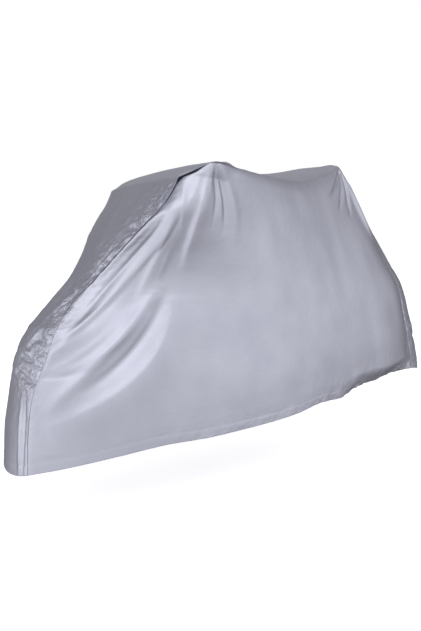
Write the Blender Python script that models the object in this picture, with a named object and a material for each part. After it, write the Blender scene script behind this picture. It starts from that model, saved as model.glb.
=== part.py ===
"""A bicycle cover as it hangs over a bicycle: two side panels sewn to one long gusset.

The tables are measured on the covered bicycle: x from midway between the axles (the front is
negative), y from the bicycle's own plane (the near side is negative), z up from the ground.
The finished cover is moved to its own frame, with its lowest hem at z = 0.
"""

from collections import namedtuple

import bmesh
import bpy
import numpy as np

# ---- driving dimensions, in metres -------------------------------------------------------------
THICKNESS = 0.0015       # one layer of coated cloth with its seam allowance
SEAM_STEP = 0.0028       # a panel stops this far from the gusset's edge
LENGTHWISE = 36          # cells along a panel, from the front seam to the rear seam
UPRIGHT = 20             # cells up a panel, from the hem to the top seam
ACROSS = 8               # cells across the gusset
MIDDLE_X = 0.014         # the cover's middle, behind the middle of the wheelbase
LOWEST_HEM = 0.1659      # the cover's lowest point above the ground

# ---- the gusset, from the front hem over handlebar and saddle to the rear hem ------------------
# seam_x, seam_z and half_width place both seams; ridge_x and ridge_z place the gusset's middle.
# swell is how far a side panel stands out beyond the straight fall just below its seam.
Station = namedtuple("Station", "name seam_x half_width seam_z ridge_x ridge_z swell")
STATIONS = [
    Station("front hem", -0.875, 0.130, 0.186, -0.906, 0.166, 0.000),
    Station("low front", -0.866, 0.130, 0.320, -0.888, 0.310, 0.004),
    Station("tyre front", -0.848, 0.130, 0.415, -0.872, 0.414, 0.000),
    Station("tyre shoulder", -0.812, 0.130, 0.500, -0.856, 0.508, -0.004),
    Station("tyre top", -0.773, 0.125, 0.590, -0.808, 0.589, -0.002),
    Station("neck", -0.720, 0.100, 0.663, -0.729, 0.648, 0.010),
    Station("slope foot", -0.652, 0.112, 0.732, -0.660, 0.720, 0.012),
    Station("slope", -0.594, 0.150, 0.804, -0.616, 0.795, 0.015),
    Station("under lever", -0.540, 0.205, 0.880, -0.570, 0.874, 0.022),
    Station("lever", -0.488, 0.242, 0.944, -0.508, 0.950, 0.026),
    Station("under bend", -0.465, 0.246, 0.974, -0.477, 0.985, 0.024),
    Station("bend foot", -0.442, 0.251, 1.015, -0.448, 1.022, 0.012),
    Station("bar bend", -0.434, 0.253, 1.029, -0.438, 1.035, 0.010),
    Station("bend top", -0.427, 0.258, 1.0325, -0.430, 1.040, 0.010),
    Station("lip", -0.409, 0.270, 1.041, -0.411, 1.052, 0.010),
    Station("grip", -0.360, 0.306, 1.067, -0.358, 1.078, 0.010),
    Station("behind grip", -0.230, 0.270, 1.061, -0.230, 1.078, 0.030),
    Station("sag front", -0.078, 0.219, 1.051, -0.078, 1.078, 0.030),
    Station("sag", 0.057, 0.174, 1.046, 0.060, 1.086, 0.030),
    Station("saddle nose", 0.150, 0.143, 1.054, 0.155, 1.101, 0.030),
    Station("saddle front", 0.240, 0.113, 1.077, 0.240, 1.117, 0.028),
    Station("saddle middle", 0.310, 0.090, 1.099, 0.320, 1.127, 0.024),
    Station("saddle", 0.368, 0.070, 1.116, 0.398, 1.132, 0.016),
    Station("saddle back", 0.387, 0.073, 1.092, 0.424, 1.102, 0.010),
    Station("under saddle", 0.419, 0.075, 1.053, 0.454, 1.056, 0.010),
    Station("high rear", 0.474, 0.075, 0.974, 0.514, 0.974, 0.012),
    Station("mid rear", 0.528, 0.075, 0.896, 0.584, 0.896, 0.018),
    Station("lower rear", 0.578, 0.075, 0.819, 0.658, 0.818, 0.025),
    Station("above knee", 0.632, 0.075, 0.744, 0.722, 0.740, 0.032),
    Station("knee", 0.690, 0.075, 0.670, 0.790, 0.663, 0.036),
    Station("knee foot", 0.716, 0.075, 0.620, 0.819, 0.612, 0.036),
    Station("under knee", 0.743, 0.075, 0.546, 0.848, 0.540, 0.034),
    Station("low rear", 0.785, 0.075, 0.412, 0.895, 0.400, 0.026),
    Station("rear hem", 0.812, 0.075, 0.284, 0.932, 0.262, 0.000),
]

# ---- the lower edge of a side panel, from the front seam to the rear seam ----------------------
# tuck is how far the elastic in the hem draws the edge in under the panel.
Hem = namedtuple("Hem", "x side z tuck")
HEM = [
    Hem(-0.875, 0.130, 0.186, 0.001),
    Hem(-0.775, 0.150, 0.190, 0.002),
    Hem(-0.620, 0.175, 0.202, 0.003),
    Hem(-0.460, 0.193, 0.214, 0.004),
    Hem(-0.330, 0.203, 0.213, 0.005),
    Hem(-0.190, 0.210, 0.218, 0.005),
    Hem(0.070, 0.205, 0.235, 0.006),
    Hem(0.175, 0.197, 0.250, 0.008),
    Hem(0.300, 0.182, 0.247, 0.014),
    Hem(0.450, 0.164, 0.272, 0.036),
    Hem(0.616, 0.141, 0.276, 0.050),
    Hem(0.700, 0.119, 0.286, 0.044),
    Hem(0.812, 0.075, 0.284, 0.008),
]
TUCK_DEPTH = 0.050       # the tuck dies out over this height above the edge

# ---- the main folds: a soft ridge or trough along a curve from a start through a middle --------
Fold = namedtuple("Fold", "name x0 z0 x1 z1 x2 z2 width height")
NEAR_FOLDS = [
    Fold("upper swag", -0.480, 0.706, -0.580, 0.582, -0.800, 0.380, 0.028, 0.013),
    Fold("swag trough", -0.456, 0.690, -0.549, 0.535, -0.700, 0.420, 0.022, -0.012),
    Fold("lower swag", -0.432, 0.660, -0.530, 0.460, -0.800, 0.318, 0.044, 0.013),
    Fold("seam roll", -0.492, 0.922, -0.551, 0.830, -0.700, 0.655, 0.018, 0.009),
    Fold("seam groove", -0.480, 0.930, -0.536, 0.830, -0.640, 0.690, 0.014, -0.008),
    Fold("long ridge", -0.466, 0.950, -0.524, 0.800, -0.770, 0.545, 0.020, 0.006),
    Fold("grip streak", -0.352, 1.030, -0.368, 0.905, -0.394, 0.740, 0.022, 0.011),
    Fold("behind grip", -0.338, 1.066, -0.300, 0.975, -0.286, 0.890, 0.014, -0.008),
    Fold("saddle folds", 0.374, 1.126, 0.346, 1.045, 0.314, 0.978, 0.020, -0.008),
    Fold("saddle streak", 0.398, 1.075, 0.448, 0.965, 0.524, 0.855, 0.016, 0.010),
    Fold("rear groove", 0.700, 0.700, 0.742, 0.560, 0.752, 0.370, 0.022, -0.007),
]
FAR_FOLDS = [
    Fold("upper swag", -0.490, 0.760, -0.600, 0.600, -0.800, 0.430, 0.030, 0.011),
    Fold("swag trough", -0.460, 0.720, -0.550, 0.570, -0.720, 0.440, 0.022, -0.011),
    Fold("lower swag", -0.430, 0.700, -0.520, 0.530, -0.780, 0.360, 0.040, 0.011),
    Fold("grip streak", -0.345, 1.030, -0.340, 0.920, -0.330, 0.770, 0.026, 0.010),
    Fold("long drape", -0.240, 0.950, -0.200, 0.700, -0.260, 0.450, 0.050, 0.006),
    Fold("middle drape", 0.060, 0.900, 0.090, 0.650, 0.060, 0.400, 0.045, -0.005),
    Fold("saddle streak", 0.405, 1.050, 0.460, 0.950, 0.540, 0.820, 0.018, 0.007),
]
FAR_FULLNESS = 0.4       # the share of the stations' swell that the far side has
BEND_FADE = np.array([1.0, 4.0, 1.0])  # how fast a seam's bends die out in the panel, by axis
GRIP_FADE = np.array([0.0, 8.0, 0.0])  # how much faster they do so beside the grip
FOLD_CLEARANCE = 0.03    # folds die out over this distance before a seam
SWELL_DEPTH = 0.034      # a panel reaches its swell over about this distance from the seam


def through(knots, points, where):
    """The smooth curve through the points, read at the places given; knots are the points' places."""
    knots, points = np.asarray(knots, float), np.asarray(points, float)
    steps = np.diff(knots)[:, None]
    slopes = np.diff(points, axis=0) / steps
    inner = (slopes[:-1] * steps[1:] + slopes[1:] * steps[:-1]) / (steps[1:] + steps[:-1])
    tangents = np.vstack([slopes[:1], inner, slopes[-1:]])
    where = np.clip(where, knots[0], knots[-1])
    cell = np.clip(np.searchsorted(knots, where, side="right") - 1, 0, len(knots) - 2)
    step = steps[cell]
    t = (where - knots[cell])[:, None] / step
    return (
        (2 * t**3 - 3 * t**2 + 1) * points[cell]
        + (t**3 - 2 * t**2 + t) * step * tangents[cell]
        + (3 * t**2 - 2 * t**3) * points[cell + 1]
        + (t**3 - t**2) * step * tangents[cell + 1]
    )


def lengths_along(points):
    """How far along the polyline each of its points lies."""
    return np.concatenate([[0], np.cumsum(np.linalg.norm(np.diff(points, axis=0), axis=1))])


SEAM_POINTS = np.array([(row.seam_x, row.half_width, row.seam_z) for row in STATIONS])
RIDGE_POINTS = np.array([(row.ridge_x, 0.0, row.ridge_z) for row in STATIONS])
SEAM_KNOTS = lengths_along(SEAM_POINTS)
NAMES = [row.name for row in STATIONS]
GRIP_KNOT = SEAM_KNOTS[NAMES.index("grip")]
SADDLE_KNOT = SEAM_KNOTS[NAMES.index("saddle")]
END_KNOT = SEAM_KNOTS[-1]


def fractions(count, crowding):
    """Fractions from 0 to 1, closer together at 0 where crowding is over 1."""
    return np.linspace(0, 1, count + 1) ** crowding


ALONG = fractions(LENGTHWISE, 1.2)
UP = 1 - fractions(UPRIGHT, 1.25)[::-1]
FRONT_KNOTS = UP * GRIP_KNOT
TOP_KNOTS = GRIP_KNOT + ALONG * (SADDLE_KNOT - GRIP_KNOT)
REAR_KNOTS = END_KNOT - UP * (END_KNOT - SADDLE_KNOT)


def gusset_grid():
    """The gusset's outer surface: rows from the front hem to the rear hem, near seam to far seam."""
    knots = np.concatenate([FRONT_KNOTS, TOP_KNOTS[1:], REAR_KNOTS[-2::-1]])
    seam = through(SEAM_KNOTS, SEAM_POINTS, knots)[:, None]
    ridge = through(SEAM_KNOTS, RIDGE_POINTS, knots)[:, None]
    across = np.linspace(-1, 1, ACROSS + 1)[None, :, None]
    grid = ridge + (seam - ridge) * across**2
    grid[..., 1] = (seam * across)[..., 1]
    return grid


def blended_patch(front, top, rear, hem):
    """The surface between four edges that meet at their ends.

    It runs straight from the hem to the top, and each upright edge's own bends are added to
    that. They die out away from the edge, sideways bends sooner than the rest.
    """
    u, v = ALONG[:, None, None], UP[None, :, None]
    fade = BEND_FADE + v**5 * GRIP_FADE
    straight = (1 - v) * hem[:, None] + v * top[:, None]
    front_bends = front[None] - straight[:1]
    rear_bends = rear[None] - straight[-1:]
    return straight + (1 - u) ** fade * front_bends + u**BEND_FADE * rear_bends


def fold_lift(grid, folds):
    """How far the folds lift each point of the grid off the plain surface."""
    lift = np.zeros(grid.shape[:2])
    for fold in folds:
        t = np.linspace(0, 1, 25)[:, None]
        ends = np.array([(fold.x0, fold.z0), (fold.x1, fold.z1), (fold.x2, fold.z2)])
        bend = 2 * ends[1] - (ends[0] + ends[2]) / 2
        path = (1 - t) ** 2 * ends[0] + 2 * t * (1 - t) * bend + t**2 * ends[2]
        gaps = np.linalg.norm(grid[:, :, None, ::2] - path, axis=3)
        nearest = gaps.argmin(axis=2)
        fade = np.sin(np.pi * np.clip(0.08 + 0.84 * t[nearest, 0], 0, 1)) ** 0.7
        lift += fold.height * fade * np.exp(-((gaps.min(axis=2) / fold.width) ** 2))
    return lift


def panel_grid(folds, fullness):
    """A side panel's outer surface on the +Y side, from the front seam to the rear seam.

    fullness is the share of the stations' swell that it has.
    """
    front = through(SEAM_KNOTS, SEAM_POINTS, FRONT_KNOTS)
    top = through(SEAM_KNOTS, SEAM_POINTS, TOP_KNOTS)
    rear = through(SEAM_KNOTS, SEAM_POINTS, REAR_KNOTS)
    hem_points = np.array([(row.x, row.side, row.z) for row in HEM])
    hem_knots = lengths_along(hem_points)
    hem = through(hem_knots, hem_points, ALONG * hem_knots[-1])
    grid = blended_patch(front, top, rear, hem)
    sewn = ((front[None], FRONT_KNOTS[None]), (top[:, None], TOP_KNOTS[:, None]),
            (rear[None], REAR_KNOTS[None]))
    gaps = np.stack([np.linalg.norm(grid - edge, axis=2) for edge, _ in sewn])
    swells = np.array([row.swell for row in STATIONS])[:, None]
    reach = [through(SEAM_KNOTS, swells, knots.ravel()).reshape(knots.shape) for _, knots in sewn]
    weights = 1 / (gaps**2 + 1e-9)
    swell = sum(weight * value for weight, value in zip(weights, reach)) / weights.sum(axis=0)
    rise = 1 - np.exp(-gaps.min(axis=0) / SWELL_DEPTH)
    height = grid[..., 2] - grid[:, :1, 2]
    tuck = np.interp(ALONG * hem_knots[-1], hem_knots, [row.tuck for row in HEM])
    grid[..., 1] += fullness * swell * rise * (1 - (1 - UP[None]) ** 6)
    grid[..., 1] -= tuck[:, None] * np.clip(1 - height / TUCK_DEPTH, 0, 1) ** 2
    grid[..., 1] += fold_lift(grid, folds) * np.clip(gaps.min(axis=0) / FOLD_CLEARANCE, 0, 1)
    return grid


def step_back(grid, distance):
    """Moves the three sewn edges of a panel's grid back from the seam, square to the seam."""
    for edge, inner in ((grid[0], grid[1]), (grid[-1], grid[-2]), (grid[:, -1], grid[:, -2])):
        along = np.gradient(edge, axis=0)
        along /= np.linalg.norm(along, axis=1, keepdims=True)
        towards = inner - edge
        towards -= along * (towards * along).sum(axis=1, keepdims=True)
        edge += distance * towards / np.linalg.norm(towards, axis=1, keepdims=True)
    return grid


def sheet(name, grid, turned, material):
    """One piece of cloth: the grid's faces with the cloth's thickness behind them."""
    grid = grid - np.array([MIDDLE_X, 0.0, LOWEST_HEM])
    shape = bmesh.new()
    rows = [[shape.verts.new(point) for point in row] for row in grid]
    for low, high in zip(rows, rows[1:]):
        for a, b, c, d in zip(low, low[1:], high[1:], high):
            shape.faces.new((d, c, b, a) if turned else (a, b, c, d))
    mesh = bpy.data.meshes.new(name)
    shape.to_mesh(mesh)
    shape.free()
    mesh.shade_smooth()
    piece = bpy.data.objects.new(name, mesh)
    bpy.context.scene.collection.objects.link(piece)
    mesh.materials.append(material)
    wall = piece.modifiers.new("cloth thickness", "SOLIDIFY")
    wall.thickness = THICKNESS
    wall.offset = -1
    return piece


def coated_cloth(name, colour, roughness):
    """Woven polyester with a thin silver-grey coating."""
    material = bpy.data.materials.new(name)
    material.use_nodes = True
    shader = material.node_tree.nodes["Principled BSDF"]
    shader.inputs["Base Color"].default_value = (*colour, 1)
    shader.inputs["Roughness"].default_value = roughness
    shader.inputs["Metallic"].default_value = 0.4
    return material


def main():
    for thing in list(bpy.data.objects):
        bpy.data.objects.remove(thing)
    far = step_back(panel_grid(FAR_FOLDS, FAR_FULLNESS), SEAM_STEP)
    near = step_back(panel_grid(NEAR_FOLDS, 1.0), SEAM_STEP) * np.array([1, -1, 1])
    cloth = coated_cloth("silver_coated_cloth", (0.42, 0.43, 0.49), 0.45)
    sheet("gusset", gusset_grid(), True, cloth.copy())
    sheet("near_side_panel", near, False, cloth.copy())
    sheet("far_side_panel", far, True, cloth.copy())
    bpy.data.materials.remove(cloth)


main()
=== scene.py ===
"""Dresses the bicycle cover: two side panels and one long gusset of silver-coated cloth.

Each cloth is a fine sheet on the folds of its plain solid, with the turned hem, the seam
allowances, the gathers and the creases that such a cover has. The tables are measured on the
covered bicycle: x from midway between the axles (the front is negative), y from the bicycle's
own plane (the near side is negative), z up from the ground. Each finished cloth is moved to the
cover's own frame, with its lowest hem at z = 0. All lengths are in metres.
"""

import math
from collections import namedtuple

import bpy
import numpy as np
from bpy.props import FloatProperty, FloatVectorProperty, PointerProperty
from mathutils import Matrix, Vector


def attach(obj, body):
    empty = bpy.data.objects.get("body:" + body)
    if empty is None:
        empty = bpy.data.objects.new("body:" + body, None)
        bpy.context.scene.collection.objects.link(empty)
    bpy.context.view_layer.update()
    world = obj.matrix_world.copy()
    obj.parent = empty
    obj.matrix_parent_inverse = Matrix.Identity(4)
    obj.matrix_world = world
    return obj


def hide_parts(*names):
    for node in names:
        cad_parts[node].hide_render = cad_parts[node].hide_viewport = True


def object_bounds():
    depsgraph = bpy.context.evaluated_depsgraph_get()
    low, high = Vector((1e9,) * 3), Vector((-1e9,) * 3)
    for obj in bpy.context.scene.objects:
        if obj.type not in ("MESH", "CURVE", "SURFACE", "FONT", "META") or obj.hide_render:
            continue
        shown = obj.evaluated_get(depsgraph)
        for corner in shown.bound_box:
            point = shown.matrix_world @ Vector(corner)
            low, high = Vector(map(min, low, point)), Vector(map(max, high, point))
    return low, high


bl_info = {
    "name": "Bicycle Cover",
    "version": (1, 0, 0),
    "blender": (4, 5, 0),
    "location": "3D View > Sidebar > Cover",
    "description": "Dresses a silver-coated bicycle cover and its studio",
    "category": "Object",
}

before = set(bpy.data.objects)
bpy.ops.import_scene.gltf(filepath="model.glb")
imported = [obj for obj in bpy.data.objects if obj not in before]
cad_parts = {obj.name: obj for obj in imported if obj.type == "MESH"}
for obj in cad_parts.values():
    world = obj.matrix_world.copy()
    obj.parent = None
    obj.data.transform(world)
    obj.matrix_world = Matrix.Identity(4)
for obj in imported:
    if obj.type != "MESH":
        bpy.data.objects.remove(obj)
CAD_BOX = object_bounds()

# ---- the sheets' place and fineness --------------------------------------------------------------
MIDDLE_X = 0.014         # the cover's middle, behind the middle of the wheelbase
LOWEST_HEM = 0.1659      # the cover's lowest point above the ground
LENGTHWISE = 230         # cells along a panel, from the front seam to the rear seam
UPRIGHT = 188            # cells up a panel, from the hem to the top seam
ACROSS = 70              # cells across the gusset
SEAM_GAP = 0.0003        # a cloth's edge stays this far from the seam line
SEAM_ROUND = 0.006       # the cloth dips into its seam over this distance
SEAM_SMOOTHING = 8       # rows over which the seam's own direction is evened out
ALLOWANCE = (0.0008, 0.0030, 0.0075)  # depths of the rows of the seam allowance
CROWDED_CELLS = 8        # the cells shrink over about this many next to an edge
# A side panel's cut size: its length and its height.
PANEL_FLAT = (1.75, 0.97)

# ---- the studio ----------------------------------------------------------------------------------
SWEEP_RADIUS = 20.0      # the studio's white wall
KEY_PLACE = (-0.9, -4.6, 2.4)
KEY_SIZE = (4.5, 2.0)
CAMERA_PLACE = (-1.264, -1.761, 0.669)
CAMERA_TURN = (31.308, 7.425, -0.716)  # yaw, how far it looks down, and roll, in degrees
CAMERA_LENS = 33.13      # millimetres, on a sensor 36 mm wide
CAMERA_SHIFT = (0.0008, 0.0071)

# ---- the light of the room -----------------------------------------------------------------------
# Each field is a soft patch of the walls. turn is its bearing from the cover's rear end, towards
# the far side, and height its angle above the floor, in degrees.
Field = namedtuple("Field", "name turn height level")
FIELDS = [
    Field("right of the camera", -60, 0, 0.85),
    Field("left of the camera", -105, 0, 0.32),
    Field("front left", -150, 0, 0.95),
    Field("front", 165, 0, 1.20),
    Field("behind left", 120, 0, 0.08),
    Field("behind", 75, 0, 0.12),
    Field("right", -35, 0, 0.42),
    Field("high, front left", -120, 40, 1.46),
    Field("high, right", -30, 45, 0.40),
    Field("high, behind", 60, 45, 0.50),
    Field("high, front", 150, 45, 0.22),
    Field("low, front left", -120, -45, 0.95),
    Field("low, right", -30, -45, 0.22),
    Field("low, behind left", 150, -45, 0.30),
]
FIELD_FALL = 6.0         # how fast a field fades away from its middle

# ---- the gusset, from the front hem over handlebar and saddle to the rear hem --------------------
# seam_x, seam_z and half_width place both seams; ridge_x and ridge_z place the gusset's middle.
# swell is how far a side panel stands out beyond the straight fall just below its seam.
Station = namedtuple("Station", "name seam_x half_width seam_z ridge_x ridge_z swell")
STATIONS = [
    Station("front hem", -0.875, 0.130, 0.186, -0.906, 0.166, 0.000),
    Station("low front", -0.866, 0.130, 0.320, -0.888, 0.310, 0.004),
    Station("tyre front", -0.848, 0.130, 0.415, -0.872, 0.414, 0.000),
    Station("tyre shoulder", -0.812, 0.130, 0.500, -0.856, 0.508, -0.004),
    Station("tyre top", -0.773, 0.125, 0.590, -0.808, 0.589, -0.002),
    Station("neck", -0.720, 0.100, 0.663, -0.729, 0.648, 0.010),
    Station("slope foot", -0.652, 0.112, 0.732, -0.660, 0.720, 0.012),
    Station("slope", -0.594, 0.150, 0.804, -0.616, 0.795, 0.015),
    Station("under lever", -0.540, 0.205, 0.880, -0.570, 0.874, 0.022),
    Station("lever", -0.488, 0.242, 0.944, -0.508, 0.950, 0.026),
    Station("under bend", -0.465, 0.246, 0.974, -0.477, 0.985, 0.024),
    Station("bend foot", -0.442, 0.251, 1.015, -0.448, 1.022, 0.012),
    Station("bar bend", -0.434, 0.253, 1.029, -0.438, 1.035, 0.010),
    Station("bend top", -0.427, 0.258, 1.0325, -0.430, 1.040, 0.010),
    Station("lip", -0.409, 0.270, 1.041, -0.411, 1.052, 0.010),
    Station("grip", -0.360, 0.306, 1.067, -0.358, 1.078, 0.010),
    Station("behind grip", -0.230, 0.270, 1.061, -0.230, 1.078, 0.030),
    Station("sag front", -0.078, 0.219, 1.051, -0.078, 1.078, 0.030),
    Station("sag", 0.057, 0.174, 1.046, 0.060, 1.086, 0.030),
    Station("saddle nose", 0.150, 0.143, 1.054, 0.155, 1.101, 0.030),
    Station("saddle front", 0.240, 0.113, 1.077, 0.240, 1.117, 0.028),
    Station("saddle middle", 0.310, 0.090, 1.099, 0.320, 1.127, 0.024),
    Station("saddle", 0.368, 0.070, 1.116, 0.398, 1.132, 0.016),
    Station("saddle back", 0.387, 0.073, 1.092, 0.424, 1.102, 0.010),
    Station("under saddle", 0.419, 0.075, 1.053, 0.454, 1.056, 0.010),
    Station("high rear", 0.474, 0.075, 0.974, 0.514, 0.974, 0.012),
    Station("mid rear", 0.528, 0.075, 0.896, 0.584, 0.896, 0.018),
    Station("lower rear", 0.578, 0.075, 0.819, 0.658, 0.818, 0.025),
    Station("above knee", 0.632, 0.075, 0.744, 0.722, 0.740, 0.032),
    Station("knee", 0.690, 0.075, 0.670, 0.790, 0.663, 0.036),
    Station("knee foot", 0.716, 0.075, 0.620, 0.819, 0.612, 0.036),
    Station("under knee", 0.743, 0.075, 0.546, 0.848, 0.540, 0.034),
    Station("low rear", 0.785, 0.075, 0.412, 0.895, 0.400, 0.026),
    Station("rear hem", 0.812, 0.075, 0.284, 0.932, 0.262, 0.000),
]
BEND_FADE = np.array([1.0, 4.0, 1.0])  # how fast a seam's bends die out in the panel, by axis
GRIP_FADE = np.array([0.0, 20.0, 0.0])  # how much faster they do so beside the grip
SWELL_DEPTH = 0.034      # a panel reaches its swell over about this distance from the seam

# ---- the lower edge of a side panel, from the front seam to the rear seam ------------------------
# tuck is how far the elastic draws the edge in under the panel, and gather how deep its gathers are.
Hem = namedtuple("Hem", "x side z tuck gather")
HEM = [
    Hem(-0.875, 0.130, 0.186, 0.001, 0.0002),
    Hem(-0.775, 0.150, 0.190, 0.002, 0.0004),
    Hem(-0.620, 0.175, 0.202, 0.003, 0.0006),
    Hem(-0.460, 0.193, 0.214, 0.003, 0.0010),
    Hem(-0.330, 0.203, 0.213, 0.003, 0.0014),
    Hem(-0.190, 0.210, 0.218, 0.003, 0.0014),
    Hem(0.070, 0.205, 0.235, 0.003, 0.0016),
    Hem(0.175, 0.197, 0.250, 0.006, 0.0020),
    Hem(0.300, 0.182, 0.247, 0.010, 0.0030),
    Hem(0.450, 0.164, 0.267, 0.040, 0.0055),
    Hem(0.616, 0.141, 0.268, 0.066, 0.0075),
    Hem(0.700, 0.119, 0.279, 0.060, 0.0075),
    Hem(0.812, 0.075, 0.284, 0.008, 0.0030),
]
TUCK_DEPTH = 0.070       # the tuck dies out over this height above the edge
TUCK_CLEARANCE = 0.030   # tuck and gathers die out over this distance before a seam
GATHER_STEP = 0.026      # from one gather of the hem to the next
GATHER_REACH = 0.034     # how high the gathers run
TUCK_FALL = 1.8          # how soon the tuck dies out: 1 is evenly, more is sooner
HEM_DEPTH = 0.030        # the turned hem, to its stitch line
HEM_TURN = 0.0013        # radius of the turned edge
PANEL_STITCH = 0.0005    # how deep the stitch line draws a panel in
GUSSET_STITCH = 0.0011   # and the gusset
TURN_ANGLES = (50, 90, 130, 180)  # the turned edge's rows, in degrees round it
INNER_HEIGHTS = (0.006, 0.014, 0.022, HEM_DEPTH)  # the rows of the layer inside the hem

# ---- folds of a side panel -----------------------------------------------------------------------
# A fold follows a curve from a start through a middle to an end. fore and aft are its widths
# towards the front and towards the rear, and height is negative for a trough.
Fold = namedtuple("Fold", "name x0 z0 x1 z1 x2 z2 fore aft height")
NEAR_FOLDS = [
    # the swag that hangs from grip to front wheel: ridge, trough, ridge
    Fold("upper swag", -0.480, 0.706, -0.580, 0.582, -0.800, 0.380, 0.024, 0.024, 0.013),
    Fold("swag trough", -0.456, 0.690, -0.549, 0.535, -0.700, 0.420, 0.012, 0.018, -0.008),
    Fold("lower swag", -0.432, 0.660, -0.530, 0.460, -0.800, 0.318, 0.028, 0.080, 0.013),
    # folds side by side under the slanting seam
    Fold("seam roll", -0.500, 0.928, -0.562, 0.836, -0.708, 0.661, 0.014, 0.007, 0.012),
    Fold("seam groove", -0.482, 0.926, -0.546, 0.808, -0.700, 0.628, 0.008, 0.010, -0.008),
    Fold("long ridge", -0.466, 0.950, -0.524, 0.800, -0.770, 0.545, 0.009, 0.020, 0.003),
    Fold("long ridge foot", -0.660, 0.640, -0.740, 0.575, -0.815, 0.500, 0.010, 0.020, 0.004),
    # the fan below the grip
    Fold("grip patch", -0.372, 1.050, -0.398, 0.985, -0.434, 0.925, 0.010, 0.040, 0.004),
    Fold("grip crease", -0.428, 1.015, -0.436, 0.930, -0.424, 0.870, 0.004, 0.010, 0.003),
    Fold("grip streak", -0.352, 1.040, -0.384, 0.925, -0.402, 0.780, 0.011, 0.048, 0.011),
    Fold("grip hollow", -0.390, 0.960, -0.404, 0.890, -0.420, 0.820, 0.014, 0.014, -0.001),
    Fold("behind grip", -0.338, 1.066, -0.300, 0.975, -0.286, 0.890, 0.006, 0.010, -0.005),
    Fold("behind grip ridge", -0.320, 1.060, -0.262, 0.960, -0.240, 0.860, 0.012, 0.024, 0.004),
    Fold("inner streak", -0.437, 0.900, -0.452, 0.820, -0.505, 0.735, 0.010, 0.020, 0.0008),
    Fold("short streak", -0.466, 0.880, -0.494, 0.785, -0.530, 0.690, 0.010, 0.034, 0.007),
    Fold("short ridge", -0.452, 0.830, -0.462, 0.780, -0.478, 0.730, 0.010, 0.010, 0.002),
    Fold("grip knob", -0.362, 1.085, -0.354, 1.050, -0.352, 1.000, 0.014, 0.014, 0.006),
    Fold("grip line 1", -0.352, 1.075, -0.330, 0.990, -0.330, 0.900, 0.005, 0.006, -0.003),
    Fold("grip line 2", -0.344, 1.072, -0.316, 1.000, -0.305, 0.930, 0.005, 0.007, 0.003),
    Fold("long line 1", -0.446, 0.955, -0.486, 0.850, -0.560, 0.740, 0.005, 0.012, 0.002),
    Fold("long line 2", -0.436, 0.930, -0.468, 0.850, -0.520, 0.770, 0.005, 0.008, -0.002),
    Fold("long line 3", -0.540, 0.770, -0.640, 0.660, -0.760, 0.575, 0.006, 0.012, 0.003),
    Fold("long line 4", -0.560, 0.720, -0.680, 0.610, -0.800, 0.545, 0.006, 0.012, -0.003),
    # faint lines that run forward from the swag
    Fold("faint upper", -0.570, 0.640, -0.680, 0.545, -0.800, 0.480, 0.010, 0.018, 0.002),
    Fold("faint middle", -0.560, 0.590, -0.660, 0.520, -0.815, 0.455, 0.012, 0.014, 0.002),
    Fold("faint level", -0.835, 0.462, -0.780, 0.463, -0.690, 0.470, 0.007, 0.010, -0.002),
    Fold("faint low", -0.858, 0.247, -0.820, 0.238, -0.780, 0.232, 0.006, 0.008, 0.0015),
    # below the saddle: three short folds, and two long ones down the panel's rear edge
    Fold("rear groove", 0.700, 0.700, 0.742, 0.560, 0.752, 0.370, 0.022, 0.016, -0.007),
    Fold("saddle long", 0.372, 1.126, 0.322, 1.066, 0.272, 1.020, 0.006, 0.010, -0.012),
    Fold("saddle middle", 0.374, 1.126, 0.346, 1.045, 0.314, 0.978, 0.006, 0.009, -0.013),
    Fold("saddle short", 0.382, 1.120, 0.380, 1.040, 0.374, 0.955, 0.006, 0.010, -0.012),
    Fold("saddle streak", 0.398, 1.075, 0.448, 0.965, 0.524, 0.855, 0.012, 0.012, 0.012),
]
FAR_FOLDS = [
    Fold("upper swag", -0.490, 0.760, -0.600, 0.600, -0.800, 0.430, 0.034, 0.022, 0.011),
    Fold("swag trough", -0.460, 0.720, -0.550, 0.570, -0.720, 0.440, 0.022, 0.018, -0.011),
    Fold("lower swag", -0.430, 0.700, -0.520, 0.530, -0.780, 0.360, 0.022, 0.060, 0.011),
    Fold("seam roll", -0.500, 0.920, -0.570, 0.815, -0.700, 0.660, 0.014, 0.010, 0.005),
    Fold("seam groove", -0.480, 0.920, -0.545, 0.810, -0.650, 0.690, 0.010, 0.010, -0.005),
    Fold("grip streak", -0.345, 1.030, -0.340, 0.920, -0.330, 0.770, 0.018, 0.036, 0.010),
    Fold("grip patch", -0.375, 1.030, -0.410, 0.970, -0.450, 0.890, 0.014, 0.024, 0.006),
    Fold("behind grip", -0.320, 1.045, -0.280, 0.960, -0.250, 0.870, 0.012, 0.014, -0.005),
    Fold("long drape", -0.240, 0.950, -0.200, 0.700, -0.260, 0.450, 0.040, 0.060, 0.006),
    Fold("middle drape", 0.060, 0.900, 0.090, 0.650, 0.060, 0.400, 0.050, 0.040, -0.005),
    Fold("saddle long", 0.355, 1.090, 0.310, 1.040, 0.250, 0.980, 0.014, 0.012, -0.005),
    Fold("saddle short", 0.372, 1.080, 0.365, 1.020, 0.350, 0.930, 0.012, 0.014, -0.005),
    Fold("saddle streak", 0.405, 1.050, 0.460, 0.950, 0.540, 0.820, 0.016, 0.016, 0.007),
]
FOLD_CLEARANCE = 0.012   # folds die out over this distance before a seam
CREST = 0.2              # how round a fold's crest is, as a share of its width

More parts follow.
